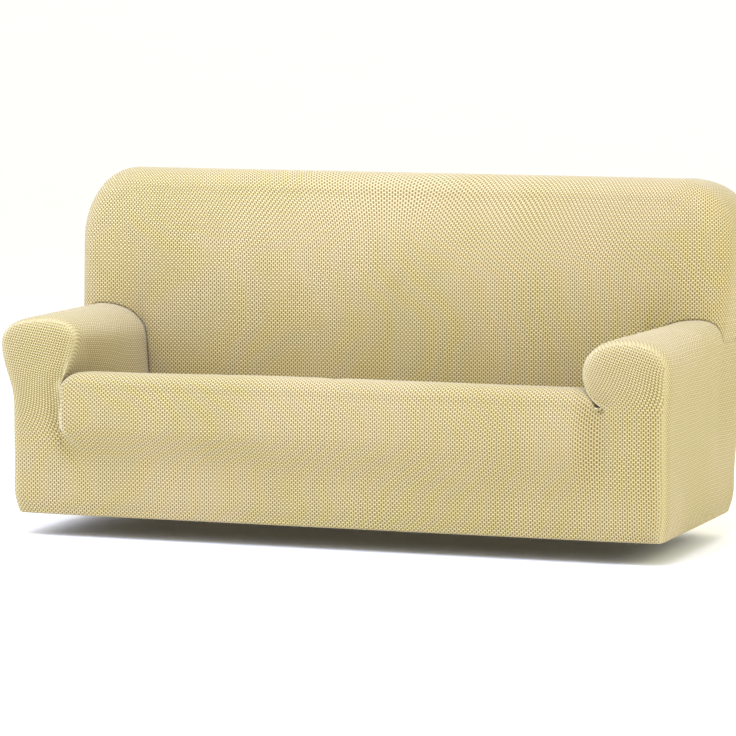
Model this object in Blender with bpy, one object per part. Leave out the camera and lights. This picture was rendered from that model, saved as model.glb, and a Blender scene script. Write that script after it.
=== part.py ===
"""Sofa slipcover: a fitted two-seat stretch cover with rolled arms, sewn from five knitted panels.

The cover is drawn as one skin of patches that meet edge to edge. The skin is then parted along its seams,
and each panel is thickened inwards into its own closed solid.

Shape frame: x runs across (0 is the middle), y runs back from the arm fronts, z runs up from the hem.
The model's origin is the point inside the top of the back where the cover is carried.
"""

import bmesh
import bpy
import numpy as np

# Driving dimensions, metres
CLOTH = 0.002  # thickness of the knit
SEAM_PULL = 0.00025  # each panel's edge stays this far from its seam line
LEAST_TURN = 0.7  # cosine past which a sharper fold isn't mitred to the cloth's full thickness
HALF_WIDTH = 0.915  # middle to the outer side of an arm
ARM_REAR = 0.50  # arm front to the face of the back
REAR_AT_HEM = 0.665  # arm front to the rear of the cover, at the hem
REAR_LEAN = 0.075  # how much further back the rear is for each metre of height
TOP = 0.905  # hem to the top of the back
SIDE_STRAIGHT = 0.30  # height up to which the arm's outer side is plumb

FOOT_FRONT_Z = 0.350  # height of the feet of the arms' inner walls, at the front
FOOT_BACK_Z = 0.300  # and at the back

# Arm sections: outward x and height z of the points that a section of the arm passes through
ARM_COLUMNS = ("x_side", "x_out", "z_out", "x_top", "z_top", "x_in", "z_in", "x_foot", "z_foot")
ARM_FRONT = {
    "left": (0.917, 0.955, 0.468, 0.820, 0.534, 0.726, 0.480, 0.775, FOOT_FRONT_Z),
    "right": (0.912, 0.919, 0.440, 0.802, 0.525, 0.678, 0.432, 0.742, FOOT_FRONT_Z),
}
ARM_BACK = {
    "left": (0.915, 0.919, 0.478, 0.862, 0.530, 0.727, 0.428, 0.720, FOOT_BACK_Z),
    "right": (0.915, 0.927, 0.478, 0.862, 0.535, 0.712, 0.430, 0.708, FOOT_BACK_Z),
}
SIGN = {"left": -1.0, "right": 1.0}
ROLL_SQUARENESS = 2.2  # exponent of the roll's superellipse quarters
FRONT_EDGE = 0.006  # how far the arm's front edge is rounded in
FRONT_EDGE_REACH = 0.018  # and over what depth

# Seat
SEAT_TOP = 0.396
SEAT_PROUD = 0.036  # how far the seat's front stands before the arm fronts
SEAT_FLANK = {"left": 0.035, "right": 0.060}  # rounding of the seat's two front corners
SEAT_NOSE = 0.046  # rounding of the seat's front edge
SEAT_END_DROP = 0.10  # width over which the seat falls to the arm
PROUD_FROM = {"left": 0.15, "right": 0.07}  # height where the seat's front starts to stand out
PROUD_TO = 0.28
SEAT_END_POWER = 2.4
CREVICE_Y = 0.482  # seat to back, at the middle
CREVICE_POWER = 6  # how straight the crevice runs before it turns back to the arms
DIP_POWER = 5  # how late the seat dips into the crevice

# Back
BACK_HALF_WIDTH = 0.940
SIDE_ROUND = 0.055  # inset of the rounded edge between side and face
SIDE_ROUND_DEPTH = 0.065
FACE_FROM_Z = 0.530  # height where the face of the back meets the tops of the arms
FACE_Y = 0.494  # and its depth there
FACE_LEAN = 0.09  # how much further back the face is for each metre of height
CROWN = 0.035  # fullness of the face
CORNER_REAR = (0.13, 0.125)  # width and height of the top corner at the rear seam
CORNER_SIDE = (0.15, 0.19)  # and where the side turns into the face
CORNER_FACE = (0.15, 0.20)
REAR_FULLNESS = 0.002
FOOT_FADE = 3  # how soon an outline leaves the place where it starts on the arm
REAR_DROP = 0.014  # how much lower the rear seam runs than the top
TOP_CROWN = 0.004  # fullness of the strip between the rear seam and the rounded edge

# Hem: turned under and drawn in by its elastic
HEM_RADIUS = 0.012
HEM_TURN = 0.018
HEM_DRAW = 0.014
HEM_DRAW_HEIGHT = 0.07
CORNER_REACH = 0.09  # a hem corner's mitre, over twice the hem's whole turn

# Steps of each stretch of the skin
SIDE_STEPS = 6
BULGE_STEPS = 3
ROLL_STEPS = 4
WALL_STEPS = 3
NOSE_STEPS = 3
DEPTH_STEPS = 9
STRIP_STEPS = 3
SEAT_STEPS = 16
FACE_STEPS = 6
ARM_STEPS = (SIDE_STEPS, BULGE_STEPS, ROLL_STEPS, ROLL_STEPS, WALL_STEPS)
SPREAD = 1.7  # power by which the seat's columns crowd towards its ends
ROLL_FROM, ROLL_TO = 2.5, 3.5  # the part of the roll that is the top edge of the arm's front
LIP_ANGLES = (45, 90)
MITRE_TRIES = 40
SHARPEST_PULL = 0.5  # keeps an edge vertex at a narrow corner from running far into the panel
WRAPPED_TURN = np.radians(225)  # a panel whose faces fill more than this at a seam's corner wraps round it

MOUNT_Y = 0.63
MOUNT_Z = TOP - CLOTH - 0.001

KNIT_COLOUR = (0.68, 0.59, 0.36, 1.0)
KNIT_ROUGHNESS = 0.92

WELD = 0.00001
PANELS = ("front_panel", "left_arm_panel", "right_arm_panel", "inside_back_panel", "outside_back_panel")


def clear_scene():
    for thing in list(bpy.data.objects):
        bpy.data.objects.remove(thing, do_unlink=True)


def smooth(t):
    """Ease from 0 to 1, level at both ends: 3t^2 - 2t^3."""
    t = np.clip(t, 0.0, 1.0)
    return t * t * (3.0 - 2.0 * t)


def mix(a, b, t):
    return a + (b - a) * t


def power_quarter(angle, squareness):
    """Cosine and sine of a quarter turn, raised to 2/squareness as in a superellipse."""
    e = 2.0 / squareness
    return np.clip(np.cos(angle), 0, 1) ** e, np.clip(np.sin(angle), 0, 1) ** e


def depth_steps():
    """Depths from the arm front to the back: the seat's nose first, then even steps."""
    nose = SEAT_NOSE * (1 - np.cos(np.linspace(0, np.pi / 2, NOSE_STEPS + 1)))
    return np.concatenate([nose, np.linspace(SEAT_NOSE, ARM_REAR, DEPTH_STEPS + 1)[1:]])


def arm_at(side, y):
    """The arm's section values at depth y, eased from the front section to the one at the back."""
    t = smooth(y / ARM_REAR)
    return {c: mix(f, b, t) for c, f, b in zip(ARM_COLUMNS, ARM_FRONT[side], ARM_BACK[side])}


def arm_point(side, p, y):
    """A point of the arm: p counts its stretches, 0-1 plumb side, 1-2 bulge, 2-3 outer roll, 3-4 inner roll,
    4-5 inner wall. The roll is two superellipse quarters, the bulge and the wall are eased lines."""
    p, y = np.broadcast_arrays(np.asarray(p, float), np.asarray(y, float))
    a = arm_at(side, y)
    stretch = np.minimum(p.astype(int), 4)
    t = p - stretch
    c, s = power_quarter(t * np.pi / 2, ROLL_SQUARENESS)
    x = np.choose(stretch, [
        a["x_side"],
        mix(a["x_side"], a["x_out"], smooth(t)),
        mix(a["x_top"], a["x_out"], c),
        mix(a["x_top"], a["x_in"], s),
        mix(a["x_in"], a["x_foot"], smooth(t)),
    ])
    z = np.choose(stretch, [
        mix(HEM_RADIUS, SIDE_STRAIGHT, t),
        mix(SIDE_STRAIGHT, a["z_out"], t),
        mix(a["z_out"], a["z_top"], s),
        mix(a["z_in"], a["z_top"], c),
        mix(a["z_in"], a["z_foot"], t),
    ])
    middle_x = (a["x_out"] + a["x_in"]) / 2
    middle_z = np.minimum(z, np.minimum(a["z_out"], a["z_in"]) - FRONT_EDGE)
    inward = np.stack([middle_x - x, middle_z - z], -1)
    inward /= np.linalg.norm(inward, axis=-1, keepdims=True)
    inset = FRONT_EDGE * np.clip(1 - y / FRONT_EDGE_REACH, 0, 1) ** 2
    inset = inset * np.where(stretch == 4, 1 - smooth(t), 1.0)
    x = x + inward[..., 0] * inset
    z = z + inward[..., 1] * inset
    return np.stack([SIGN[side] * x, y, z], -1)


def rear_y(z):
    return REAR_AT_HEM + REAR_LEAN * z


def arm_rear_point(side, p, t):
    """The outer side behind the arm, from the arm's rear section (t = 0) straight to the rear corner (1)."""
    start = arm_point(side, p, ARM_REAR)
    end = start.copy()
    end[..., 0] = SIGN[side] * HALF_WIDTH
    end[..., 1] = rear_y(start[..., 2])
    return mix(start, end, np.asarray(t)[..., None])


def spread(n):
    """Positions from -1 to 1, closer together towards both ends."""
    s = np.linspace(-1, 1, n + 1)
    return np.sign(s) * (1 - (1 - np.abs(s)) ** SPREAD)


def seat_end(u, y):
    """x across the seat at position u, where u = -1 and 1 lie at the feet of the arms' inner walls."""
    left, right = arm_at("left", y)["x_foot"], arm_at("right", y)["x_foot"]
    return np.where(u < 0, u * left, u * right)


def by_side(u, values):
    return np.where(u < 0, values["left"], values["right"])


def from_end(u, y):
    """Distance across the seat from the nearer arm."""
    return np.abs(seat_end(np.where(u < 0, -1.0, 1.0), y)) - np.abs(seat_end(u, y))


def seat_bulge(u, z):
    """How far the seat's front stands out: a rounded flank at each end, growing upwards."""
    end = from_end(u, np.zeros_like(u))
    flank = np.sqrt(1 - (1 - np.clip(end / by_side(u, SEAT_FLANK), 0, 1)) ** 2)
    rise = smooth((z - by_side(u, PROUD_FROM)) / (PROUD_TO - by_side(u, PROUD_FROM)))
    return SEAT_PROUD * flank * rise


def seat_front_point(u, v):
    """The seat's front from the hem (v = 0) to where its nose starts (v = 1)."""
    z = mix(HEM_RADIUS, FOOT_FRONT_Z, v) + 0 * u
    return np.stack([seat_end(u, 0 * z), -seat_bulge(u, z), z], -1)


def seat_top_point(u, y):
    """The seat from its nose back to the crevice. Above the line of the arms' feet it stands up by a quarter
    ellipse, lower towards each arm, and it dips into the crevice with a power of the depth."""
    u, y = np.broadcast_arrays(u, y)
    foot_z = mix(FOOT_FRONT_Z, FOOT_BACK_Z, smooth(y / ARM_REAR))
    near_end = np.clip(from_end(u, y) / SEAT_END_DROP, 0, 1)
    height = (SEAT_TOP - FOOT_FRONT_Z) * (1 - (1 - near_end) ** SEAT_END_POWER)
    nose = np.sqrt(1 - (1 - np.clip(y / SEAT_NOSE, 0, 1)) ** 2)
    back = np.clip((y - SEAT_NOSE) / (ARM_REAR - SEAT_NOSE), 0, 1)
    z = foot_z + height * nose * (1 - back**DIP_POWER)
    bulge = seat_bulge(u, np.full_like(y, PROUD_TO))
    crevice = (ARM_REAR - CREVICE_Y) * (1 - np.abs(u) ** CREVICE_POWER)
    return np.stack([seat_end(u, y), y - bulge * (1 - back) ** 2 - crevice * back, z], -1)


def coons(bottom, top, left, right):
    """A patch between four curves: the two ruled surfaces less the one between the corners."""
    u = np.linspace(0, 1, len(bottom))[:, None, None]
    v = np.linspace(0, 1, len(left))[None, :, None]
    up = mix(bottom[:, None], top[:, None], v)
    across = mix(left[None], right[None], u)
    low = mix(bottom[0], bottom[-1], u)
    high = mix(top[0], top[-1], u)
    return up + across - mix(low, high, v)


def stretches(first, *steps):
    """Parameter values from first onwards, with the given number of steps in each whole unit."""
    parts = [first + i + np.arange(1, n + 1) / n for i, n in enumerate(steps)]
    return np.concatenate([[first], *parts])


def arm_front_patch(side):
    """The face of an arm, between its outer edge, its roll and the seam line to the seat's front."""
    around = stretches(0.0, *ARM_STEPS)
    outer = around[around <= ROLL_FROM]
    over = around[(around >= ROLL_FROM) & (around <= ROLL_TO)]
    inner = around[around >= ROLL_TO][::-1]
    left = arm_point(side, outer, 0.0)
    top = arm_point(side, over, 0.0)
    below = seat_front_point(np.full(SIDE_STEPS, SIGN[side]), stretches(0.0, SIDE_STEPS)[:-1])
    right = np.concatenate([below, arm_point(side, inner, 0.0)])
    bottom = mix(left[0], right[0], np.linspace(0, 1, len(top))[:, None])
    return coons(bottom, top, left, right)


def ring_shape(i):
    """Half width, height, corner size and turn of the back's outline i, from the rear seam to the face."""
    t = min(i / STRIP_STEPS, 1.0)
    turn = max(i - STRIP_STEPS, 0) / ROLL_STEPS * np.pi / 2
    inset = 1 - np.cos(turn)
    crown = TOP_CROWN * np.sin(np.pi * t)
    corner = mix(np.array(CORNER_REAR), np.array(CORNER_SIDE), t)
    corner = mix(corner, np.array(CORNER_FACE), inset)
    width = BACK_HALF_WIDTH + crown - SIDE_ROUND * inset
    top = mix(TOP - REAR_DROP, TOP, t) + crown - SIDE_ROUND * inset
    return width, top, corner, t, turn


def ring_y(z, t, turn):
    """Depth of an outline's point at height z: along the side strip by t, then round the edge by turn."""
    face = FACE_Y + FACE_LEAN * (z - FACE_FROM_Z)
    edge = face + SIDE_ROUND_DEPTH
    return np.where(turn > 0, face + SIDE_ROUND_DEPTH * (1 - np.sin(turn)), mix(rear_y(z), edge, t))


def ring_side(i, foot, n):
    """One side of outline i in n steps: up from the arm at foot, then round half of the top corner."""
    width, top, (across, down), t, turn = ring_shape(i)
    straight = top - down - foot[2]
    arc = np.pi / 4 * (across + down) / 2
    s = np.linspace(0, 1, n + 1)
    along = s * (straight + arc)
    angle = np.clip((along - straight) / arc, 0, 1) * np.pi / 4
    x = width - across * (1 - np.cos(angle))
    z = np.where(along < straight, foot[2] + along, top - down + down * np.sin(angle))
    y = ring_y(z, t, turn)
    line = np.stack([np.sign(foot[0]) * x, y, z], -1)
    return line + (foot - line[0]) * ((1 - s) ** FOOT_FADE)[:, None]


def ring_top(i, n, u):
    """The top of outline i at positions u from -1 to 1, between the middles of its two corners."""
    width, top, (across, down), t, turn = ring_shape(i)
    flat = width - across
    arc = across * np.sin(np.pi / 4)
    x = np.abs(u) * (flat + arc)
    sine = np.clip((x - flat) / across, 0, 1)
    z = top - down * (1 - np.sqrt(1 - sine**2))
    return np.stack([np.sign(u) * x, ring_y(z, t, turn), z], -1)


def arm_arc(side, first, last):
    """The arm's rear edge from the start of stretch first to that of last, against the face of the back."""
    return arm_point(side, stretches(first, *ARM_STEPS[first:last]), ARM_REAR)


def back_feet(side):
    """The points where the back's outlines start: along the side seam, then over the arm's outer roll."""
    strip = arm_rear_point(side, np.full(STRIP_STEPS, 2.0), 1 - np.arange(STRIP_STEPS) / STRIP_STEPS)
    return np.concatenate([strip, arm_arc(side, 2, 3)])


def back_patch():
    """Nested outlines from the rear seam to the face, with a crowned patch inside the last one."""
    rings = STRIP_STEPS + ROLL_STEPS
    arm_steps = ROLL_STEPS + WALL_STEPS
    across = 2 * (rings + arm_steps) + SEAT_STEPS
    up = FACE_STEPS + rings
    grid = np.zeros((across + 1, up + 1, 3))
    feet = {side: back_feet(side) for side in SIGN}
    for i in range(rings + 1):
        grid[i, : up - i + 1] = ring_side(i, feet["left"][i], up - i)
        grid[across - i, : up - i + 1] = ring_side(i, feet["right"][i], up - i)
        u = np.linspace(-1, 1, across - 2 * i + 1)
        grid[i : across - i + 1, up - i] = ring_top(i, across, u)
    seat = seat_top_point(spread(SEAT_STEPS), np.full(SEAT_STEPS + 1, ARM_REAR))
    left, right = arm_arc("left", 3, 5), arm_arc("right", 3, 5)
    bottom = np.concatenate([left[:-1], seat, right[::-1][1:]])
    inner = slice(rings, across - rings + 1)
    sides = grid[rings, : FACE_STEPS + 1], grid[across - rings, : FACE_STEPS + 1]
    face = coons(bottom, grid[inner, FACE_STEPS], *sides)
    u = np.linspace(-1, 1, len(bottom))[:, None]
    v = np.linspace(0, 1, FACE_STEPS + 1)[None]
    face[..., 1] -= CROWN * (1 - u**4) * (1 - (1 - v) ** 4) * (1 - v**4)
    grid[inner, : FACE_STEPS + 1] = face
    return grid


def rear_patch(back):
    """The rear, from the hem up to the back's first outline, slightly full."""
    p = stretches(0.0, *ARM_STEPS[:2])[:-1]
    left = np.concatenate([arm_rear_point("left", p, np.ones_like(p)), back[0]])
    right = np.concatenate([arm_rear_point("right", p, np.ones_like(p)), back[-1]])
    top = back[:, -1]
    share = (top[:, 0] - top[0, 0]) / (top[-1, 0] - top[0, 0])
    bottom = mix(left[0], right[0], share[:, None])
    grid = coons(bottom, top, left, right)
    u = np.linspace(-1, 1, grid.shape[0])[:, None]
    v = np.linspace(0, 1, grid.shape[1])[None]
    grid[..., 1] += REAR_FULLNESS * (1 - u**2) * np.sin(np.pi * v)
    return grid


def inward(points):
    """Directions into the cover at the hem: along x near the sides and along y near the front and the rear.
    Each fades with the square of the distance from its side, so that a corner is a mitre."""
    x, y = points[..., 0], points[..., 1]
    near = [(1 - np.clip(e / CORNER_REACH, 0, 1)) ** 2 for e in (HALF_WIDTH - np.abs(x), y, REAR_AT_HEM - y)]
    return np.stack([-np.sign(x) * near[0], near[1] - near[2], 0 * x], -1)


def draw_in(grid):
    """The elastic draws the lowest part of the cover in."""
    low = np.clip(1 - grid[..., 2:3] / HEM_DRAW_HEIGHT, 0, 1) ** 2
    return grid + inward(grid) * HEM_DRAW * low


def lip(edge):
    """The turned hem below an edge of the skin: a quarter turn, then a short flat run inwards."""
    start = draw_in(edge)
    rows = [start]
    for a in np.radians(LIP_ANGLES):
        down = np.array([0, 0, HEM_RADIUS * np.sin(a)])
        rows.append(start + inward(edge) * HEM_RADIUS * (1 - np.cos(a)) - down)
    rows.append(rows[-1] + inward(edge) * HEM_TURN)
    return np.stack(rows, 1)


def patches():
    """All patches of the skin as (panel, grid of points)."""
    depths = depth_steps()
    u = spread(SEAT_STEPS)
    low = stretches(0.0, *ARM_STEPS[:2])
    high = stretches(2.0, *ARM_STEPS[2:])
    behind = stretches(0.0, STRIP_STEPS)
    for side in SIGN:
        panel = side + "_arm_panel"
        yield panel, arm_point(side, low[:, None], depths[None])
        yield panel, arm_point(side, high[:, None], depths[None])
        yield panel, arm_rear_point(side, low[:, None], behind[None])
        yield panel, lip(arm_point(side, np.zeros(len(depths)), depths))
        yield panel, lip(arm_rear_point(side, np.zeros(len(behind)), behind))
        face = arm_front_patch(side)
        yield "front_panel", face
        yield "front_panel", lip(face[:, 0])
    front = seat_front_point(u[:, None], stretches(0.0, SIDE_STEPS)[None])
    yield "front_panel", front
    yield "front_panel", lip(front[:, 0])
    yield "front_panel", seat_top_point(u[:, None], depths[None])
    back = back_patch()
    yield "inside_back_panel", back
    rear = rear_patch(back)
    yield "outside_back_panel", rear
    yield "outside_back_panel", lip(rear[:, 0])


def sew_skin():
    """One surface from all patches, with each face marked by its panel."""
    skin = bmesh.new()
    mark = skin.faces.layers.int.new("panel")
    for panel, grid in patches():
        grid = draw_in(grid) if grid[..., 2].min() > HEM_RADIUS / 2 else grid
        verts = [[skin.verts.new(p) for p in row] for row in grid]
        for i in range(len(verts) - 1):
            for j in range(len(verts[0]) - 1):
                face = skin.faces.new((verts[i][j], verts[i + 1][j], verts[i + 1][j + 1], verts[i][j + 1]))
                face[mark] = PANELS.index(panel)
    bmesh.ops.remove_doubles(skin, verts=skin.verts, dist=WELD)
    bmesh.ops.recalc_face_normals(skin, faces=skin.faces)
    rear = max(skin.faces, key=lambda f: f.calc_center_median().y)
    if rear.normal.y < 0:
        bmesh.ops.reverse_faces(skin, faces=skin.faces)
    bmesh.ops.triangulate(skin, faces=skin.faces, quad_method="SHORT_EDGE")
    skin.normal_update()
    return skin, mark


def mitre(v):
    """The direction that leans least from the faces around a vertex, and its cosine to the furthest one."""
    out = v.normal.copy()
    for step in range(MITRE_TRIES):
        furthest = min(v.link_faces, key=lambda f: out.dot(f.normal))
        out = (out + furthest.normal / (step + 2)).normalized()
    return out, min(out.dot(f.normal) for f in v.link_faces)


def seam_pull(v, own):
    """How a panel's edge vertex draws back: square to the seams that meet there, into the panel's own faces.
    A corner that the panel wraps round stays where it is."""
    pulls = []
    for edge in v.link_edges:
        mine = [f for f in edge.link_faces if f in own]
        if len(mine) == 1 and len(edge.link_faces) == 2:
            along = (edge.verts[0].co - edge.verts[1].co).normalized()
            inside = mine[0].calc_center_median() - v.co
            pulls.append((inside - along * inside.dot(along)).normalized())
    turn = sum(loop.calc_angle() for loop in v.link_loops if loop.face in own)
    if not pulls or turn > WRAPPED_TURN:
        return v.co * 0
    total = sum(pulls, v.co * 0)
    return total * SEAM_PULL / max(total.dot(pulls[0]), SHARPEST_PULL)


def cut_panel(skin, mark, number):
    """A closed solid from one panel of the skin: its edges are drawn back from the seams, then it is
    thickened along the whole skin's normals, so that neighbours meet in a mitre. Each face across the
    thickness is split from its lowest numbered corner, so that both sides of a seam twist alike."""
    faces = [f for f in skin.faces if f[mark] == number]
    panel = bmesh.new()
    key = panel.verts.layers.int.new("key")
    made = {}
    normals = {}
    for v in {v for f in faces for v in f.verts}:
        own = [f for f in v.link_faces if f[mark] == number]
        made[v.index] = panel.verts.new(v.co + seam_pull(v, own))
        made[v.index][key] = v.index
        out, turned = mitre(v)
        normals[v.index] = out * CLOTH / max(turned, LEAST_TURN)
    for f in faces:
        panel.faces.new([made[v.index] for v in f.verts])
    shell = bmesh.ops.extrude_face_region(panel, geom=panel.faces[:], use_keep_orig=True)
    lining = {v for v in shell["geom"] if isinstance(v, bmesh.types.BMVert)}
    for v in lining:
        v.co -= normals[v[key]]
    for face in [f for f in panel.faces if len(f.verts) == 4]:
        corner = min(face.verts, key=lambda v: (v[key], v in lining))
        opposite = face.verts[(list(face.verts).index(corner) + 2) % 4]
        bmesh.utils.face_split(face, corner, opposite)
    bmesh.ops.recalc_face_normals(panel, faces=panel.faces)
    if panel.calc_volume(signed=True) < 0:
        bmesh.ops.reverse_faces(panel, faces=panel.faces)
    return panel


def knit_material(name):
    material = bpy.data.materials.new(name)
    material.use_nodes = True
    shader = material.node_tree.nodes["Principled BSDF"]
    shader.inputs["Base Color"].default_value = KNIT_COLOUR
    shader.inputs["Roughness"].default_value = KNIT_ROUGHNESS
    shader.inputs["Metallic"].default_value = 0.0
    return material


def build():
    clear_scene()
    cover = bpy.data.collections.new("sofa_slipcover")
    bpy.context.scene.collection.children.link(cover)
    carrier = bpy.data.objects.new("carried_point", None)
    carrier.location = (0.0, -MOUNT_Y, -MOUNT_Z)
    cover.objects.link(carrier)
    skin, mark = sew_skin()
    skin.verts.index_update()
    for number, name in enumerate(PANELS):
        solid = cut_panel(skin, mark, number)
        mesh = bpy.data.meshes.new(name)
        solid.to_mesh(mesh)
        solid.free()
        mesh.shade_smooth()
        mesh.materials.append(knit_material(name + "_knit"))
        panel = bpy.data.objects.new(name, mesh)
        panel.parent = carrier
        cover.objects.link(panel)
    skin.free()


build()
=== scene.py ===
"""Looks of the slipcover: five panels of beige two-tone stretch knit over rolled arms, a seat and a back.

Every surface is worked out in a shape frame: x across, y back from the arm fronts, z up from the hem. The
last step of each panel moves it by -CARRIED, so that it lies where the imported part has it.
"""

import bmesh
import bpy
import numpy as np
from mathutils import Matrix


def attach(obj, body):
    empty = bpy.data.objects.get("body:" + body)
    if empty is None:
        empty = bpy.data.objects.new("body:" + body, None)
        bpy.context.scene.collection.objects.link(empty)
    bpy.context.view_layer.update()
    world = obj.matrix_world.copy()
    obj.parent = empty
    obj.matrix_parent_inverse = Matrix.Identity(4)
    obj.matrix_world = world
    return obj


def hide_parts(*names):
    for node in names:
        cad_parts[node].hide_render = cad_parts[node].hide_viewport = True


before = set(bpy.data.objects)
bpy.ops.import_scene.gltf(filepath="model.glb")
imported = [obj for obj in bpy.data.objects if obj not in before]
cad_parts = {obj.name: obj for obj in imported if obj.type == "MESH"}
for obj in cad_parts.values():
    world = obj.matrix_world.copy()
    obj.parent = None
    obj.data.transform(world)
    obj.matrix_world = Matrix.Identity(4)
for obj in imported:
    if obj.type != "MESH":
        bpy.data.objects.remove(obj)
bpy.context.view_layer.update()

# Left and right arm panels: polyester and elastane knit, one piece over each arm's outer side, roll and
# inner wall. They are sewn to the front panel round the arm's face and tucked in beside the seat, and their
# lower edge is turned in round an elastic.
SIGN = {"left": -1.0, "right": 1.0}
CARRIED = np.array([0.0, 0.63, 0.902])
CLOTH = 0.002
HALF_WIDTH, ARM_REAR, SIDE_STRAIGHT = 0.915, 0.50, 0.30
REAR_AT_HEM, REAR_LEAN = 0.665, 0.075
FOOT_FRONT_Z, FOOT_BACK_Z = 0.350, 0.300
ARM_COLUMNS = ("x_side", "x_out", "z_out", "x_top", "z_top", "x_in", "z_in", "x_foot", "z_foot")
ARM_FRONT = {
    "left": (0.917, 0.955, 0.468, 0.820, 0.534, 0.726, 0.480, 0.775, FOOT_FRONT_Z),
    "right": (0.912, 0.919, 0.440, 0.802, 0.525, 0.678, 0.432, 0.742, FOOT_FRONT_Z),
}
ARM_BACK = {
    "left": (0.915, 0.919, 0.478, 0.862, 0.530, 0.727, 0.428, 0.720, FOOT_BACK_Z),
    "right": (0.915, 0.927, 0.478, 0.862, 0.535, 0.712, 0.430, 0.708, FOOT_BACK_Z),
}
ROLL_SQUARENESS = 2.2
WALL_POWER = {"left": 1.2, "right": 2.2}
# The face's soft edge: how far it is drawn in and back and over what distance, the share of that on the
# outer side, and where on the section the share starts to rise to the whole.
EDGE_ROUND, EDGE_SOFT = 0.012, 0.052
OUTER_EDGE, OUTER_EDGE_TO = {"left": 0.5, "right": 1.0}, 1.5
REAR_FLARE, REAR_FLARE_FROM, REAR_FLARE_RISE = 0.025, 0.1, 0.36
SEAT_NOSE = 0.046
HEM_RADIUS, HEM_TURN, HEM_STEPS = 0.012, 0.018, 6
HEM_DRAW, HEM_DRAW_HEIGHT, CORNER_REACH = 0.014, 0.07, 0.09
SIDE_STEPS, BULGE_STEPS, ROLL_STEPS, WALL_STEPS = 36, 16, 24, 16
NOSE_STEPS, DEPTH_STEPS, STRIP_STEPS = 10, 48, 14
ARM_STEPS = (SIDE_STEPS, BULGE_STEPS, ROLL_STEPS, ROLL_STEPS, WALL_STEPS)


def smooth(t):
    """Ease from 0 to 1, level at both ends: 3t^2 - 2t^3."""
    t = np.clip(t, 0.0, 1.0)
    return t * t * (3.0 - 2.0 * t)


def mix(a, b, t):
    """The straight line from a (t = 0) to b (t = 1)."""
    return a + (b - a) * t


def stretches(first, *steps):
    """Values from first onwards, with the given number of even steps in each whole unit."""
    parts = [first + i + np.arange(1, n + 1) / n for i, n in enumerate(steps)]
    return np.concatenate([[first], *parts])


def arm_at(side, y):
    """The arm's section values at depth y, eased from the front section to the one at the back."""
    t = smooth(y / ARM_REAR)
    return {c: mix(f, b, t) for c, f, b in zip(ARM_COLUMNS, ARM_FRONT[side], ARM_BACK[side])}


def arm_point(side, p, y):
    """Arm at parameter p and depth y: 0-1 plumb side, 1-2 bulge, 2-3 outer roll, 3-4 inner roll, 4-5 inner
    wall. The roll is two superellipse quarters, the bulge an eased line, the wall curves in by a power of
    the way down, and the front edge is drawn in to the section's middle by a square of the depth."""
    p, y = np.broadcast_arrays(np.asarray(p, float), np.asarray(y, float))
    a = arm_at(side, y)
    stretch = np.minimum(p.astype(int), 4)
    t = p - stretch
    e = 2.0 / ROLL_SQUARENESS
    c = np.clip(np.cos(t * np.pi / 2), 0, 1) ** e
    s = np.clip(np.sin(t * np.pi / 2), 0, 1) ** e
    x = np.choose(stretch, [
        a["x_side"],
        mix(a["x_side"], a["x_out"], smooth(t)),
        mix(a["x_top"], a["x_out"], c),
        mix(a["x_top"], a["x_in"], s),
        mix(a["x_in"], a["x_foot"], t ** WALL_POWER[side]),
    ])
    z = np.choose(stretch, [
        mix(HEM_RADIUS, SIDE_STRAIGHT, t),
        mix(SIDE_STRAIGHT, a["z_out"], t),
        mix(a["z_out"], a["z_top"], s),
        mix(a["z_in"], a["z_top"], c),
        mix(a["z_in"], a["z_foot"], t),
    ])
    middle_x = (a["x_out"] + a["x_in"]) / 2
    middle_z = np.minimum(z, np.minimum(a["z_out"], a["z_in"]) - EDGE_ROUND)
    inward = np.stack([middle_x - x, middle_z - z], -1)
    inward /= np.linalg.norm(inward, axis=-1, keepdims=True)
    inset = EDGE_ROUND * np.clip(1 - y / EDGE_SOFT, 0, 1) ** 2
    share = mix(OUTER_EDGE[side], 1.0, smooth(p - OUTER_EDGE_TO))
    inset = inset * np.where(stretch == 4, 1 - smooth(t), share)
    x, z = x + inward[..., 0] * inset, z + inward[..., 1] * inset
    return np.stack([SIGN[side] * x, y + inset, z], -1)


def rear_y(z):
    """The rear leans back in a straight line with height."""
    return REAR_AT_HEM + REAR_LEAN * z


def arm_rear_point(side, p, t):
    """The outer side behind the arm: straight lines from the arm's rear section (t = 0) to the rear corner
    (1), which flares with height to the back's width."""
    start = arm_point(side, p, ARM_REAR)
    end = start.copy()
    flare = REAR_FLARE * smooth((start[..., 2] - REAR_FLARE_FROM) / REAR_FLARE_RISE)
    end[..., 0] = SIGN[side] * (HALF_WIDTH + flare)
    end[..., 1] = rear_y(start[..., 2])
    return mix(start, end, np.asarray(t)[..., None])


def inwards(points):
    """Directions into the cover at the hem, along x near the sides and along y near the front and the rear,
    each fading with the square of the distance from its side."""
    x, y = points[..., 0], points[..., 1]
    edges = HALF_WIDTH - np.abs(x), y, REAR_AT_HEM - y
    side, front, rear = [(1 - np.clip(edge / CORNER_REACH, 0, 1)) ** 2 for edge in edges]
    return np.stack([-np.sign(x) * side, front - rear, 0 * x], -1)


def draw_in(grid):
    """The elastic draws the cover in by a square that fades out at HEM_DRAW_HEIGHT."""
    low = np.clip(1 - grid[..., 2:3] / HEM_DRAW_HEIGHT, 0, 1) ** 2
    return grid + inwards(grid) * HEM_DRAW * low


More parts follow.
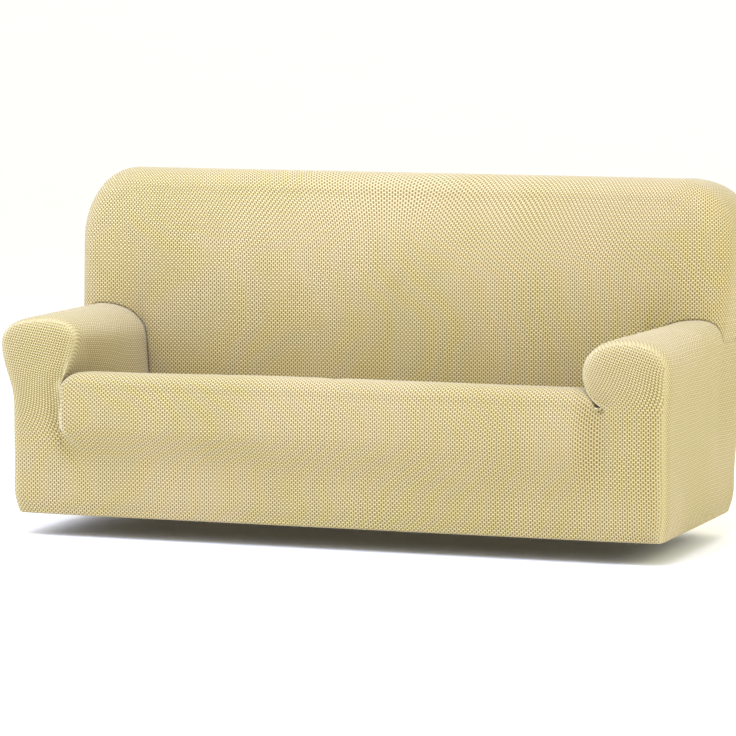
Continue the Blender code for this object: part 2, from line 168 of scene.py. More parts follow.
def lip(edge, edge_uv):
    """The turned hem below an edge: a quarter circle down, then a flat run inwards. Its cloth runs on from
    the panel's, so v falls by the length of the turn."""
    start, into = draw_in(edge), inwards(edge)
    rows, uvs = [start], [edge_uv]
    for a in np.radians(np.linspace(90 / HEM_STEPS, 90, HEM_STEPS)):
        rows.append(start + into * HEM_RADIUS * (1 - np.cos(a)) - [0, 0, HEM_RADIUS * np.sin(a)])
        uvs.append(edge_uv - [0, HEM_RADIUS * a])
    rows.append(rows[-1] + into * HEM_TURN)
    uvs.append(uvs[-1] - [0, HEM_TURN])
    return np.stack(rows, 1), np.stack(uvs, 1)


def length_along(grid, axis):
    """Running length of the grid's lines along one of its two directions."""
    step = np.linalg.norm(np.diff(grid, axis=axis), axis=-1)
    zero = np.zeros_like(np.take(step, [0], axis))
    return np.concatenate([zero, np.cumsum(step, axis)], axis)


def linear(hex_colour):
    """sRGB hex to linear RGBA, by the standard curve."""
    c = np.array([int(hex_colour[i : i + 2], 16) for i in (1, 3, 5)]) / 255
    c = np.where(c <= 0.04045, c / 12.92, ((c + 0.055) / 1.055) ** 2.4)
    return (*c, 1.0)


def add(tree, kind, settings=None, **links):
    """Adds a node, sets its properties, and sets or links its inputs, by name or as _ and a number."""
    node = tree.nodes.new(kind)
    for key, value in (settings or {}).items():
        setattr(node, key, value)
    for key, value in links.items():
        socket = node.inputs[int(key[1:]) if key[1:].isdigit() else key]
        if isinstance(value, bpy.types.NodeSocket):
            tree.links.new(value, socket)
        else:
            socket.default_value = value
    return node


# The weave: two columns of slits across, one repeat along them, and how far the columns wander.
WALE, COURSE, WALE_WAVE = 0.0122, 0.0109, 0.010
SLIT, YARN, YARN_ROSY, FLOAT = "#6F602E", "#B09E5E", "#BBA674", "#D3C69B"
# The second colour is a painted highlight on the crests of folds; the first is strained knit, paler partly
# as a painted highlight on the arms' rounded front edges.
STRAINED_AND_HIGHLIGHT, CREST_HIGHLIGHT = "#C5B888", "#E6DDBE"
# The shares of the dark line at each course, of the paler colour of strain with its painted highlight, of
# the painted highlight on the crests of folds, and of the relief that strain takes away.
COURSE_LINE, STRAIN_HIGHLIGHT_SHARE, CREST_HIGHLIGHT_SHARE, STRAIN_FLATTENS = 0.15, 0.75, 0.35, 0.75
FUZZ_FINENESS, FUZZ_SHARE, RELIEF = 900.0, 0.25, 0.0012


def basket_knit():
    """Two-tone basket-weave stretch knit, warp knitted from polyester with elastane: cream bars of yarn
    laid like bricks, with the olive-brown ground showing as upright slits between their ends. The yarn is
    matt with a little fuzz, so that edges seen along the cloth go pale. Where it is strained the slits thin
    out and the colour goes paler, partly a painted highlight along the arms' front edges, and a paler
    colour on the crests of folds is a painted highlight."""
    material = bpy.data.materials.new("polyester_basket_knit")
    material.use_nodes = True
    tree = material.node_tree
    shader = tree.nodes["Principled BSDF"]
    shader.inputs["Roughness"].default_value = 0.9
    shader.inputs["Specular IOR Level"].default_value = 0.25
    shader.inputs["Sheen Weight"].default_value = 0.28
    shader.inputs["Sheen Tint"].default_value = linear("#FBF8F4")
    shader.inputs["Sheen Roughness"].default_value = 0.45

    def maths(operation, *values):
        links = {"_" + str(i): value for i, value in enumerate(values)}
        return add(tree, "ShaderNodeMath", {"operation": operation}, **links).outputs[0]

    def eased(value, low, high):
        """0 at low and 1 at high, with a smooth step between."""
        return add(
            tree, "ShaderNodeMapRange", {"interpolation_type": "SMOOTHSTEP"},
            Value=value, _1=low, _2=high, _3=0.0, _4=1.0,
        ).outputs[0]

    def blend(share, first, second):
        return add(tree, "ShaderNodeMix", {"data_type": "RGBA"}, _0=share, _6=first, _7=second).outputs[2]

    def vectors(operation, **links):
        return add(tree, "ShaderNodeVectorMath", {"operation": operation}, **links).outputs[0]

    def mark(name):
        return add(tree, "ShaderNodeAttribute", {"attribute_name": name}).outputs["Fac"]

    # Place in the flat cloth, moved a little by slow noise so that the columns wander.
    place = add(tree, "ShaderNodeTexCoord").outputs["Object"]
    wander = add(tree, "ShaderNodeTexNoise", Vector=place, Scale=4.0, Detail=1.0).outputs["Color"]
    wander = vectors("SUBTRACT", _0=wander, _1=(0.5, 0.5, 0.5))
    wander = vectors("SCALE", _0=wander, Scale=WALE_WAVE * 2)
    flat = add(tree, "ShaderNodeUVMap", {"uv_map": "weave"}).outputs[0]
    axes = add(tree, "ShaderNodeSeparateXYZ", _0=vectors("ADD", _0=flat, _1=wander))
    # Cosine waves across and along. The sign of the first sets every second column off by half a repeat, as
    # in brickwork. A slit stands in the middle of each column, and a bar of yarn crosses each gap in it.
    column = maths("COSINE", maths("MULTIPLY", axes.outputs["X"], 2 * np.pi / WALE))
    course = maths("COSINE", maths("MULTIPLY", axes.outputs["Y"], 2 * np.pi / COURSE))
    ladder = maths("MULTIPLY", maths("SIGN", column), course)
    slit = maths("MULTIPLY", eased(maths("ABSOLUTE", column), 0.58, 0.96), eased(ladder, -0.92, -0.40))
    bar = maths("MULTIPLY", eased(maths("ABSOLUTE", column), 0.05, 0.40), eased(ladder, -0.35, -0.80))
    # Colour: yarn that drifts between two tones, with pale bars, dark slits and a faint dark line at each
    # course, paler where it is strained, partly as a painted highlight along the arms' front seams, and
    # with a painted highlight on the crests of folds.
    tone = add(tree, "ShaderNodeTexNoise", Vector=place, Scale=2.2, Detail=3.0).outputs["Fac"]
    ground = blend(eased(tone, 0.38, 0.62), linear(YARN), linear(YARN_ROSY))
    strain_and_highlight = mark("strain_and_highlight")
    colour = blend(slit, blend(bar, ground, linear(FLOAT)), linear(SLIT))
    colour = blend(maths("MULTIPLY", eased(course, 0.3, 1.0), COURSE_LINE), colour, linear(SLIT))
    # Strained knit, paler partly as a painted highlight on the arms' rounded front edges.
    colour = blend(maths("MULTIPLY", strain_and_highlight, STRAIN_HIGHLIGHT_SHARE), colour, linear(STRAINED_AND_HIGHLIGHT))
    # Painted highlight on the crests of folds.
    colour = blend(maths("MULTIPLY", mark("crest_highlight"), CREST_HIGHLIGHT_SHARE), colour, linear(CREST_HIGHLIGHT))
    tree.links.new(colour, shader.inputs["Base Color"])
    # Relief: bars stand out half as far as slits sink, with a fine fuzz, and strain flattens them.
    fuzz = add(tree, "ShaderNodeTexNoise", Vector=place, Scale=FUZZ_FINENESS, Detail=1.0).outputs["Fac"]
    relief = maths("SUBTRACT", maths("MULTIPLY_ADD", bar, 0.5, maths("MULTIPLY", fuzz, FUZZ_SHARE)), slit)
    flatter = maths("SUBTRACT", 1.0, maths("MULTIPLY", strain_and_highlight, STRAIN_FLATTENS))
    relief = maths("MULTIPLY", relief, flatter)
    bump = add(tree, "ShaderNodeBump", Height=relief, Strength=0.7, Distance=RELIEF)
    tree.links.new(bump.outputs[0], shader.inputs["Normal"])
    return material


knit = basket_knit()

FOLD_STEPS, FOLD_FADE, FOLD_REACH, CREST_HEIGHT = 48, 0.7, 3, 0.004
WELD, GROUPS = 0.00002, 40
# Folds fade out this near a seam, and strain, with its painted highlight, reaches this far in from the
# seams in front of this depth.
FOLD_CLEAR, RIM_WIDTH, FRONT_DEPTH = 0.012, 0.024, 0.02


def folded(points, normals, folds):
    """Moves points along their normals by the sum of the folds. A fold is a quadratic Bezier curve in
    space, by its three points, with a half width and a height: a bell curve across it, fading with a sine
    along it. Also gives each point's share, from 0 to 1, of the height at which a fold has a full crest,
    which sets the painted highlight on crests."""
    moved = np.zeros(len(points))
    t = np.linspace(0, 1, FOLD_STEPS + 1)[:, None]
    for start, pull, end, half_width, height in folds:
        start, pull, end = np.array(start), np.array(pull), np.array(end)
        curve = (1 - t) ** 2 * start + 2 * t * (1 - t) * pull + t**2 * end
        reach = np.linalg.norm(end - start) + FOLD_REACH * half_width
        near = np.flatnonzero(np.linalg.norm(points - pull, axis=1) < reach)
        gaps = np.linalg.norm(points[near][:, None] - curve[None], axis=-1)
        fade = np.sin(np.pi * gaps.argmin(1) / FOLD_STEPS) ** FOLD_FADE
        moved[near] += height * np.exp(-((gaps.min(1) / half_width) ** 2)) * fade
    return points + normals * moved[:, None], smooth(moved / CREST_HEIGHT)


def distance_to(line, points):
    """Distance from each point to the nearest point of a line, worked out in groups to spare memory."""
    groups = np.array_split(points, GROUPS)
    return np.concatenate([np.sqrt(((g[:, None] - line[None]) ** 2).sum(-1).min(1)) for g in groups])


def read(items, attribute, width, kind=float):
    """One attribute of a mesh's vertices, edges, faces or loops, in rows of the given width."""
    values = np.empty(len(items) * width, kind)
    items.foreach_get(attribute, values)
    return values.reshape(-1, width)


def welded(name, patches, within):
    """One mesh from grids of points and their places in the flat cloth: quads, drawn in at the hem, welded
    where grids meet, and turned outwards from the point within."""
    cloth = bmesh.new()
    cloth.loops.layers.uv.new("weave")
    for grid, uv in patches:
        grid = draw_in(grid) if grid[..., 2].min() > HEM_RADIUS / 2 else grid
        mesh = bpy.data.meshes.new("patch")
        rows, columns = grid.shape[:2]
        corner = (np.arange(rows - 1)[:, None] * columns + np.arange(columns - 1)).ravel()
        quads = np.stack([corner, corner + columns, corner + columns + 1, corner + 1], 1)
        mesh.from_pydata(grid.reshape(-1, 3), [], quads)
        mesh.uv_layers.new(name="weave").data.foreach_set("uv", uv.reshape(-1, 2)[quads.ravel()].ravel())
        cloth.from_mesh(mesh)
        bpy.data.meshes.remove(mesh)
    bmesh.ops.remove_doubles(cloth, verts=cloth.verts, dist=WELD)
    bmesh.ops.recalc_face_normals(cloth, faces=cloth.faces)
    mesh = bpy.data.meshes.new(name)
    cloth.to_mesh(mesh)
    cloth.free()
    outwards = read(mesh.polygons, "center", 3) - within
    if (read(mesh.polygons, "normal", 3) * outwards).sum() < 0:
        mesh.flip_normals()
    return mesh


def seams_of(mesh, points):
    """The points along a mesh's borders, where an edge has one face only, above the turn of the hem."""
    faces_at_edge = np.bincount(read(mesh.loops, "edge_index", 1, int).ravel(), minlength=len(mesh.edges))
    border = points[np.unique(read(mesh.edges, "vertices", 2, int)[faces_at_edge == 1])]
    return border[border[:, 2] > HEM_RADIUS]


def sew(name, patches, within, folds=(), rim=0.0):
    """One panel, as in welded. It is then folded clear of its seams, marked with its strain and painted
    highlight, which is rim along the arms' front seams, and with a painted highlight on the crests of its
    folds, and thickened inwards."""
    mesh = welded(name, patches, within)
    points = read(mesh.vertices, "co", 3)
    seams = seams_of(mesh, points)
    front_seams = seams[seams[:, 1] < FRONT_DEPTH]
    clear = smooth(distance_to(seams, points) / FOLD_CLEAR)[:, None]
    strain_and_highlight = np.zeros(len(points))
    # Strain and its painted highlight along the arms' front seams.
    if len(front_seams):
        strain_and_highlight = rim * (1 - smooth(distance_to(front_seams, points) / RIM_WIDTH))
    moved, crest_highlights = folded(points, read(mesh.vertex_normals, "vector", 3), folds)
    points = mix(points, moved, clear)
    mesh.vertices.foreach_set("co", (points - CARRIED).ravel())
    # Marks for the material: strain with its painted highlight, and the painted highlight on fold crests.
    mesh.attributes.new("strain_and_highlight", "FLOAT", "POINT").data.foreach_set("value", strain_and_highlight)
    mesh.attributes.new("crest_highlight", "FLOAT", "POINT").data.foreach_set("value", crest_highlights)
    mesh.shade_smooth()
    mesh.materials.append(knit)
    panel = bpy.data.objects.new(name, mesh)
    bpy.context.scene.collection.objects.link(panel)
    wall = panel.modifiers.new("thickness", "SOLIDIFY")
    wall.thickness, wall.offset = CLOTH, -1.0
    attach(panel, "root")
    return panel


def depths():
    """Depths from the arm front to the back: the seat's nose first, by cosine, then even steps."""
    nose = SEAT_NOSE * (1 - np.cos(np.linspace(0, np.pi / 2, NOSE_STEPS + 1)))
    return np.concatenate([nose, np.linspace(SEAT_NOSE, ARM_REAR, DEPTH_STEPS + 1)[1:]])


def arm_cloth(side):
    """The grids of an arm panel. In the flat cloth u is the depth and v the length round the section."""
    y = depths()
    round_section = stretches(0.0, *ARM_STEPS)
    over = arm_point(side, round_section[:, None], y[None])
    up = length_along(over, 0)
    u = SIGN[side] * (HALF_WIDTH + y[None]) + 0 * up
    yield over, np.stack([u, up + HEM_RADIUS], -1)
    low = stretches(0.0, *ARM_STEPS[:2])
    t = stretches(0.0, STRIP_STEPS)
    behind = arm_rear_point(side, low[:, None], t[None])
    u = SIGN[side] * (HALF_WIDTH + behind[..., 1])
    up = length_along(behind, 0)
    yield behind, np.stack([u, up + HEM_RADIUS], -1)
    for edge in (over[0], behind[0]):
        u = SIGN[side] * (HALF_WIDTH + edge[:, 1])
        yield lip(edge, np.stack([u, np.full_like(u, HEM_RADIUS)], -1))


def arm_folds(side):
    """Creases where the cloth is pulled from the roll to the tuck beside the seat, as lines on the arm from
    one place (parameter and depth) to another, with a half width and a height."""
    pulls = ((3.5, 0.012, 4.75, 0.15, 0.009, -0.0022), (3.9, 0.02, 4.85, 0.24, 0.010, -0.0012))
    for p0, y0, p1, y1, half_width, height in pulls:
        middle = arm_point(side, (p0 + p1) / 2, (y0 + y1) / 2)
        yield arm_point(side, p0, y0), middle, arm_point(side, p1, y1), half_width, height


# rim: the share of the paler strained colour, partly a painted highlight, along the arms' front seams.
for side in SIGN:
    within = np.array([SIGN[side] * 0.82, 0.25, 0.35])
    arm = sew(side + "_arm_cloth", list(arm_cloth(side)), within, arm_folds(side), rim=0.65)
    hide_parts(side + "_arm_panel")


# Front panel: the same knit, one piece over the seat, down the seat's front and over both arm faces. It is
# tucked into the crevice behind the seat and between the seat and the arms, where it strains into folds.
SEAT_TOP, SEAT_PROUD = 0.396, 0.036
PROUD_FROM, PROUD_TO = {"left": 0.15, "right": 0.07}, 0.25
NOSE_LEAN, NOSE_HEIGHT = 0.4, 0.10
SEAT_FLANK, FLANK_POWER = {"left": 0.026, "right": 0.075}, {"left": 0.6, "right": 1.0}
FLANK_BEND, BEND_FROM, BEND_RISE = {"left": 0.10, "right": 0.0}, 0.12, 0.13
SEAT_END_DROP, SEAT_END_POWER = {"left": 0.062, "right": 0.080}, {"left": 2.0, "right": 1.8}
SEAT_END_FULLNESS = {"left": 0.65, "right": 1.0}
SEAT_LEFT_SAG, SAG_FROM, SAG_OVER = 0.006, 0.1875, 0.625
TUCK, TUCK_AT, TUCK_WIDTH = 0.018, 0.015, 0.010
CREVICE_Y, CREVICE_POWER, DIP_POWER = 0.482, 6, 5
# Over each arm's face the courses climb by a share that grows between two heights.
CLIMB = {"left": (0.62, 0.165, 0.40), "right": (0.45, 0.31, 0.47)}
# On an arm's face: where its outer side starts across x, and the distance over which its set-back eases.
OUTER_FROM, FACE_EASE = 0.86, 0.03
SEAT_STEPS, SPREAD = 160, 1.7


def seat_end(u, y):
    """x across the seat at position u, where u = -1 and 1 lie at the feet of the arms' inner walls."""
    left, right = arm_at("left", y)["x_foot"], arm_at("right", y)["x_foot"]
    return np.where(u < 0, u * left, u * right)


def by_side(u, values):
    """From the left value to the right one, eased over the middle of the seat."""
    return mix(values["left"], values["right"], smooth(u + 0.5))


def from_end(u, y):
    """Distance across the seat from the nearer arm."""
    return np.abs(seat_end(np.where(u < 0, -1.0, 1.0), y)) - np.abs(seat_end(u, y))


def seat_bulge(u, z):
    """How far the seat's front stands out: eased in from both ends, steeper at the left, where the line it
    starts from bends inwards at the bottom, eased in with height and leaning back near the nose."""
    bend = by_side(u, FLANK_BEND) * (1 - smooth((z - BEND_FROM) / BEND_RISE))
    way = np.clip((from_end(u, 0 * u) - bend) / by_side(u, SEAT_FLANK), 0, 1)
    flank = smooth(way) ** by_side(u, FLANK_POWER)
    rise = smooth((z - by_side(u, PROUD_FROM)) / (PROUD_TO - by_side(u, PROUD_FROM)))
    return SEAT_PROUD * flank * rise * (1 - NOSE_LEAN * np.clip((z - PROUD_TO) / NOSE_HEIGHT, 0, 1) ** 2)


def seat_front_point(u, v):
    """The seat's front: straight up from the hem (v = 0) to its nose (1), stood out by the bulge."""
    z = mix(HEM_RADIUS, FOOT_FRONT_Z, v) + 0 * u
    return np.stack([seat_end(u, 0 * z), -seat_bulge(u, z), z], -1)


def seat_top_point(u, y):
    """The seat from its nose back to the crevice: a quarter ellipse up over the nose, lower by a power
    towards each arm and a little lower in its left half, with a bell-shaped tuck beside the right arm, and
    down into the crevice by a power of the depth."""
    u, y = np.broadcast_arrays(u, y)
    foot_z = mix(FOOT_FRONT_Z, FOOT_BACK_Z, smooth(y / ARM_REAR))
    near_end = np.clip(from_end(u, y) / by_side(u, SEAT_END_DROP), 0, 1)
    seat_top = SEAT_TOP - SEAT_LEFT_SAG * smooth((-u - SAG_FROM) / SAG_OVER)
    rise = (1 - (1 - near_end) ** by_side(u, SEAT_END_POWER)) ** by_side(u, SEAT_END_FULLNESS)
    height = (seat_top - FOOT_FRONT_Z) * rise
    height = height - TUCK * np.exp(-(((from_end(u, y) - TUCK_AT) / TUCK_WIDTH) ** 2)) * (u > 0)
    nose = np.sqrt(1 - (1 - np.clip(y / SEAT_NOSE, 0, 1)) ** 2)
    back = np.clip((y - SEAT_NOSE) / (ARM_REAR - SEAT_NOSE), 0, 1)
    z = foot_z + height * nose * (1 - back**DIP_POWER)
    bulge = seat_bulge(u, np.full_like(y, FOOT_FRONT_Z))
    crevice = (ARM_REAR - CREVICE_Y) * (1 - np.abs(u) ** CREVICE_POWER)
    return np.stack([seat_end(u, y), y - bulge * (1 - back) ** 2 - crevice * back, z], -1)


def spread(n):
    """Positions from -1 to 1, closer together towards both ends by a power."""
    s = np.linspace(-1, 1, n + 1)
    return np.sign(s) * (1 - (1 - np.abs(s)) ** SPREAD)


def coons(bottom, top, left, right):
    """A patch between four curves: the two ruled surfaces less the bilinear one between the corners."""
    u = np.linspace(0, 1, len(bottom))[:, None, None]
    v = np.linspace(0, 1, len(left))[None, :, None]
    up, across = mix(bottom[:, None], top[:, None], v), mix(left[None], right[None], u)
    return up + across - mix(mix(bottom[0], bottom[-1], u), mix(top[0], top[-1], u), v)


def arm_face(side):
    """The face of an arm: a patch between its outer edge, its roll and the line to the seat's front, set
    back near its rounded edge by a square of the distance, and level where it meets the seat."""
    p = stretches(0.0, *ARM_STEPS)
    outer, over, inner = p[p <= 2.5], p[(p >= 2.5) & (p <= 3.5)], p[p >= 3.5][::-1]
    left, top, wall = [arm_point(side, part, 0.0) for part in (outer, over, inner)]
    below = seat_front_point(np.full(SIDE_STEPS, SIGN[side]), stretches(0.0, SIDE_STEPS)[:-1])
    right = np.concatenate([below, wall])
    face = coons(mix(left[0], right[0], np.linspace(0, 1, len(top))[:, None]), top, left, right)
    edge = np.concatenate([left, top, wall])
    from_edge = distance_to(edge[:, [0, 2]], face[..., [0, 2]].reshape(-1, 2)).reshape(face.shape[:2])
    share = mix(1.0, OUTER_EDGE[side], smooth((np.abs(face[..., 0]) - OUTER_FROM) / FACE_EASE))
    set_back = EDGE_ROUND * share * np.clip(1 - from_edge / EDGE_SOFT, 0, 1) ** 2
    from_seat = np.abs(face[..., 0] - right[0, 0]) + np.maximum(face[..., 2] - FOOT_FRONT_Z, 0)
    face[1:-1, 1:-1, 1] = (set_back * smooth(from_seat / FACE_EASE))[1:-1, 1:-1]
    return face


def pulled(face, side):
    """The flat place of an arm's face: its front view, turned by a share that grows with height, so that
    the courses climb to the right where the roll strains the cloth."""
    x, z = face[..., 0], face[..., 2]
    climb, low, high = CLIMB[side]
    middle = SIGN[side] * (ARM_FRONT[side][0] + ARM_FRONT[side][7]) / 2
    climb = climb * smooth((z - low) / (high - low))
    return np.stack([x + climb * (z - low), z - climb * (x - middle)], -1)


def front_cloth():
    """The grids of the front panel. In the flat cloth u is x, and v is z up to the nose and then the length
    back over the seat."""
    for side in SIGN:
        face = arm_face(side)
        place = pulled(face, side)
        yield face, place
        yield lip(face[:, 0], place[:, 0])
    u = spread(SEAT_STEPS)
    front = seat_front_point(u[:, None], stretches(0.0, SIDE_STEPS)[None])
    up = length_along(front, 1)
    place = np.stack([front[..., 0], HEM_RADIUS + up], -1)
    yield front, place
    yield lip(front[:, 0], place[:, 0])
    top = seat_top_point(u[:, None], depths()[None])
    yield top, np.stack([top[..., 0], place[:, -1:, 1] + length_along(top, 1)], -1)


# Folds, each as the three points of its curve, its half width and its height: a slack line over the seat,
# the ridge and the valley that curve down from the left arm's roll, the valley below the right arm's tuck,
# and the dent at the tuck's end.
front_folds = [
    ((-0.005, 0.02, 0.392), (-0.05, 0.20, 0.392), (-0.12, 0.36, 0.385), 0.016, -0.004),
    ((-0.762, -0.020, 0.32), (-0.775, -0.04, 0.17), (-0.68, -0.03, 0.158), 0.011, 0.006),
    ((-0.792, 0.0, 0.36), (-0.800, 0.0, 0.18), (-0.70, -0.005, 0.135), 0.016, -0.008),
    ((0.715, -0.01, 0.36), (0.735, 0.0, 0.28), (0.73, 0.0, 0.14), 0.032, -0.008),
    ((0.755, 0.0, 0.365), (0.735, 0.0, 0.345), (0.738, -0.002, 0.332), 0.009, -0.012),
]
# rim: the share of the paler strained colour, partly a painted highlight, along the arms' front seams.
front = sew("front_cloth", list(front_cloth()), np.array([0.0, 0.3, 0.2]), front_folds, rim=0.4)
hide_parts("front_panel")

# Inside back panel: the same knit, one piece over the face of the back, its top and its two sides,
# stretched to the seam at the rear. It meets the arms along their rear edges.
BACK_HALF_WIDTH, TOP, TOP_CROWN, REAR_DROP = 0.940, 0.905, 0.004, 0.014
SIDE_ROUND, SIDE_ROUND_DEPTH = 0.055, 0.065
FACE_FROM_Z, FACE_Y, FACE_LEAN, CROWN = 0.530, 0.494, 0.09, 0.035
# The upper corners' size across and down: at the rear seam, along the sides and on the face.
CORNER_REAR, CORNER_SIDE = np.array([0.13, 0.125]), np.array([0.15, 0.19])
CORNER_FACE = np.array([0.15, 0.20])
STRIP_CLOTH = 0.12
# The columns of the weave lean outwards with height, most of all halfway out to each side.
WEAVE_LEAN, LEAN_FROM, LEAN_RISE, LEAN_HALF_WIDTH = 0.30, 0.62, 0.25, 0.84
FOOT_FADE, FACE_STEPS = 3, 44
RINGS = STRIP_STEPS + ROLL_STEPS


def ring_shape(i):
    """Outline i of the back, from the rear seam (0) over the side strip and round the edge to the face: its
    half width, height and corner size, its share of the strip, its turn round the edge, and how much more
    cloth lies between it and the face than its front view shows."""
    t = min(i / STRIP_STEPS, 1.0)
    turn = max(i - STRIP_STEPS, 0) / ROLL_STEPS * np.pi / 2
    inset = 1 - np.cos(turn)
    crown = TOP_CROWN * np.sin(np.pi * t)
    corner = mix(mix(CORNER_REAR, CORNER_SIDE, t), CORNER_FACE, inset)
    width = BACK_HALF_WIDTH + crown - SIDE_ROUND * inset
    top = mix(TOP - REAR_DROP, TOP, t) + crown - SIDE_ROUND * inset
    round_cloth = (np.pi / 2 - turn) * (SIDE_ROUND + SIDE_ROUND_DEPTH) / 2
    rest = round_cloth + (1 - t) * STRIP_CLOTH - SIDE_ROUND * np.cos(turn)
    return width, top, corner, t, turn, rest


def ring_y(z, t, turn):
    """Depth at height z: along the side strip by t, then round the edge by a quarter ellipse."""
    face = FACE_Y + FACE_LEAN * (z - FACE_FROM_Z)
    edge = face + SIDE_ROUND_DEPTH
    return np.where(turn > 0, face + SIDE_ROUND_DEPTH * (1 - np.sin(turn)), mix(rear_y(z), edge, t))


def ring_side(i, foot, n):
    """One side of outline i in n steps: up from the arm at foot, then round half of the top corner. In the
    flat cloth each point is moved out from its front view by the rest of the cloth round the edge."""
    width, top, (across, down), t, turn, rest = ring_shape(i)
    straight = top - down - foot[2]
    arc = np.pi / 4 * (across + down) / 2
    s = np.linspace(0, 1, n + 1)
    along = s * (straight + arc)
    angle = np.clip((along - straight) / arc, 0, 1) * np.pi / 4
    x = width - across * (1 - np.cos(angle))
    z = np.where(along < straight, foot[2] + along, top - down + down * np.sin(angle))
    sign = np.sign(foot[0])
    line = np.stack([sign * x, ring_y(z, t, turn), z], -1)
    line = line + (foot - line[0]) * ((1 - s) ** FOOT_FADE)[:, None]
    return line, line[:, [0, 2]] + rest * np.stack([sign * np.cos(angle), np.sin(angle)], -1)


def ring_top(i, u):
    """The top of outline i at positions u from -1 to 1, between the middles of its two corners."""
    width, top, (across, down), t, turn, rest = ring_shape(i)
    flat = width - across
    x = np.abs(u) * (flat + across * np.sin(np.pi / 4))
    sine = np.clip((x - flat) / across, 0, 1)
    z = top - down * (1 - np.sqrt(1 - sine**2))
    line = np.stack([np.sign(u) * x, ring_y(z, t, turn), z], -1)
    return line, line[:, [0, 2]] + rest * np.stack([np.sign(u) * sine, np.sqrt(1 - sine**2)], -1)


def arm_arc(side, first, last):
    """The arm's rear edge from the start of stretch first to that of last."""
    return arm_point(side, stretches(first, *ARM_STEPS[first:last]), ARM_REAR)


def back_feet(side):
    """The points where the outlines start: along the side seam, then over the arm's outer roll."""
    strip = arm_rear_point(side, np.full(STRIP_STEPS, 2.0), 1 - np.arange(STRIP_STEPS) / STRIP_STEPS)
    return np.concatenate([strip, arm_arc(side, 2, 3)])


def back_cloth():
    """Nested outlines from the rear seam to the face, with a patch inside the last one that is crowned by
    fourth powers. In the flat cloth the face is its own front view, with its columns leaning."""
    across = 2 * (RINGS + ROLL_STEPS + WALL_STEPS) + SEAT_STEPS
    up = FACE_STEPS + RINGS
    grid, flat = np.zeros((across + 1, up + 1, 3)), np.zeros((across + 1, up + 1, 2))
    feet = {side: back_feet(side) for side in SIGN}
    for i in range(RINGS + 1):
        left, right = slice(0, up - i + 1), across - i
        grid[i, left], flat[i, left] = ring_side(i, feet["left"][i], up - i)
        grid[right, left], flat[right, left] = ring_side(i, feet["right"][i], up - i)
        row = slice(i, across - i + 1)
        grid[row, up - i], flat[row, up - i] = ring_top(i, np.linspace(-1, 1, across - 2 * i + 1))
    seat = seat_top_point(spread(SEAT_STEPS), np.full(SEAT_STEPS + 1, ARM_REAR))
    left, right = arm_arc("left", 3, 5), arm_arc("right", 3, 5)
    bottom = np.concatenate([left[:-1], seat, right[::-1][1:]])
    inner = slice(RINGS, across - RINGS + 1)
    sides = grid[RINGS, : FACE_STEPS + 1], grid[across - RINGS, : FACE_STEPS + 1]
    face = coons(bottom, grid[inner, FACE_STEPS], *sides)
    u = np.linspace(-1, 1, len(bottom))[:, None]
    v = np.linspace(0, 1, FACE_STEPS + 1)[None]
    face[..., 1] -= CROWN * (1 - u**4) * (1 - (1 - v) ** 4) * (1 - v**4)
    grid[inner, : FACE_STEPS + 1] = face
    flat[inner, : FACE_STEPS + 1] = face[..., [0, 2]]
    above = flat[..., 1] - LEAN_FROM
    lean = np.sin(np.pi * np.clip(flat[..., 0] / LEAN_HALF_WIDTH, -1, 1))
    flat[..., 0] -= WEAVE_LEAN * smooth(above / LEAN_RISE) * lean * above
    return grid, flat


back, back_flat = back_cloth()
# One shallow hollow down the middle of the face.
back_folds = [((0.020, 0.465, 0.62), (0.010, 0.462, 0.45), (0.014, 0.462, 0.30), 0.028, -0.006)]
inside_back = sew("inside_back_cloth", [(back, back_flat)], np.array([0.0, 0.60, 0.5]), back_folds)
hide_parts("inside_back_panel")

# Outside back panel: the same knit, flat across the rear from the seam at the top to the elastic hem, and
# sewn to the arm panels down both rear corners.
REAR_FULLNESS = 0.002


def rear_cloth():
    """A patch between the hem, the two rear corners and the back's first outline, bowed out by a parabola
    across and a sine up, with every second line left out, since it is so flat."""
    p = stretches(0.0, *ARM_STEPS[:2])[:-1]
    left = np.concatenate([arm_rear_point("left", p, np.ones_like(p)), back[0]])
    right = np.concatenate([arm_rear_point("right", p, np.ones_like(p)), back[-1]])
    top = back[:, -1]
    share = (top[:, 0] - top[0, 0]) / (top[-1, 0] - top[0, 0])
    grid = coons(mix(left[0], right[0], share[:, None]), top, left, right)
    u = np.linspace(-1, 1, grid.shape[0])[:, None]
    v = np.linspace(0, 1, grid.shape[1])[None]
    grid[..., 1] += REAR_FULLNESS * (1 - u**2) * np.sin(np.pi * v)
    grid = grid[::2, ::2]
    yield grid, grid[..., [0, 2]]
    yield lip(grid[:, 0], grid[:, 0][:, [0, 2]])


outside_back = sew("outside_back_cloth", list(rear_cloth()), np.array([0.0, 0.5, 0.5]))
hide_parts("outside_back_panel")

# Studio: a floor of plain white paper that curves up behind, soft lights above and on all sides, a warm
# white surround, and the camera with its long lens.
HEM_ABOVE_FLOOR = 0.06
PAPER_FRONT, PAPER_BEND_FROM, PAPER_BEND, PAPER_TOP, PAPER_HALF_WIDTH = -30.0, 12.0, 6.0, 30.0, 40.0


def sweep():
    """A floor that turns up into a wall: a straight run, a quarter circle and a straight rise, across x."""
    a = np.linspace(0, np.pi / 2, 17)
    back_wall = PAPER_BEND_FROM + PAPER_BEND
    y = np.concatenate([[PAPER_FRONT], PAPER_BEND_FROM + PAPER_BEND * np.sin(a), [back_wall]])
    height = np.concatenate([[0.0], PAPER_BEND - PAPER_BEND * np.cos(a), [PAPER_TOP]])
    z = height - CARRIED[2] - HEM_ABOVE_FLOOR
    x = np.array([-PAPER_HALF_WIDTH, PAPER_HALF_WIDTH])
    grid = np.stack(np.broadcast_arrays(x[:, None], y[None], z[None]), -1)
    columns = len(y)
    corner = np.arange(columns - 1)
    return grid.reshape(-1, 3), np.stack([corner, corner + columns, corner + columns + 1, corner + 1], 1)


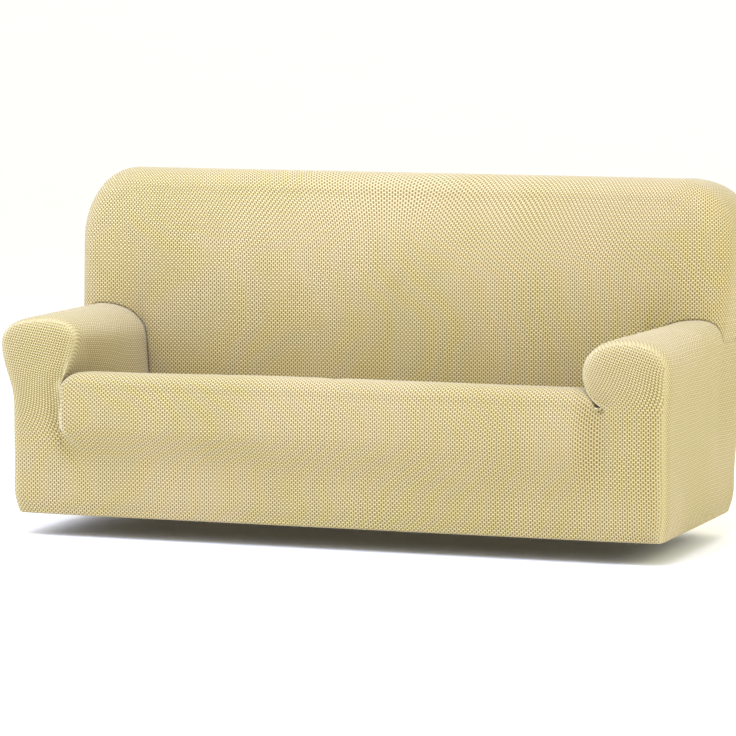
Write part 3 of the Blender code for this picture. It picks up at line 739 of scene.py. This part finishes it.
floor_mesh = bpy.data.meshes.new("floor")
floor_points, floor_faces = sweep()
floor_mesh.from_pydata(floor_points, [], floor_faces)
floor_mesh.shade_smooth()
paper = bpy.data.materials.new("white_background_paper")
paper.use_nodes = True
paper_shader = paper.node_tree.nodes["Principled BSDF"]
paper_shader.inputs["Base Color"].default_value = linear("#FCFCFA")
paper_shader.inputs["Roughness"].default_value = 0.9
floor_mesh.materials.append(paper)
floor = bpy.data.objects.new("floor", floor_mesh)
bpy.context.scene.collection.objects.link(floor)

world = bpy.data.worlds.new("surround")
world.use_nodes = True
background = world.node_tree.nodes["Background"]
background.inputs["Color"].default_value = (0.96, 0.95, 0.91, 1.0)
background.inputs["Strength"].default_value = 1.12
bpy.context.scene.world = world
bpy.context.scene.view_settings.view_transform = "Standard"

for name, place, turn, size, colour, watts in (
    ("softbox_above", (-0.2, -1.3, 1.5), (0.51, 0.0, -0.18), (3.2, 1.6), (0.74, 0.84, 1.30), 78),
    ("softbox_left", (-3.0, -1.6, 0.8), (1.206, 0.0, -1.081), (2.0, 2.0), (0.31, 0.335, 0.50), 80),
    ("softbox_front", (0.2, -3.6, 3.0), (0.764, 0.0, 0.06), (3.0, 2.0), (1.0, 1.0, 0.9), 16),
    ("softbox_rear", (0.0, 3.4, 0.6), (1.27, 0.0, 3.1416), (3.0, 2.0), (1.0, 1.0, 0.9), 30),
    ("softbox_right", (3.4, -0.4, 0.8), (1.25, 0.0, 1.571), (1.5, 1.5), (1.0, 0.99, 0.70), 34),
):
    light_data = bpy.data.lights.new(name, "AREA")
    light_data.shape = "RECTANGLE"
    light_data.size, light_data.size_y = size
    light_data.energy, light_data.color = watts, colour
    light = bpy.data.objects.new(name, light_data)
    light.location, light.rotation_euler = place, turn
    bpy.context.scene.collection.objects.link(light)

CAMERA_PLACE, CAMERA_DIP, CAMERA_TURN = (3.9717, -11.4315, 0.7253), 5.9571, 19.6991
camera_data = bpy.data.cameras.new("camera")
camera_data.lens, camera_data.sensor_width = 215.87, 36.0
camera = bpy.data.objects.new("camera", camera_data)
camera.location = CAMERA_PLACE
camera.rotation_euler = (np.radians(90 - CAMERA_DIP), 0.0, np.radians(CAMERA_TURN))
bpy.context.scene.collection.objects.link(camera)
bpy.context.scene.camera = camera
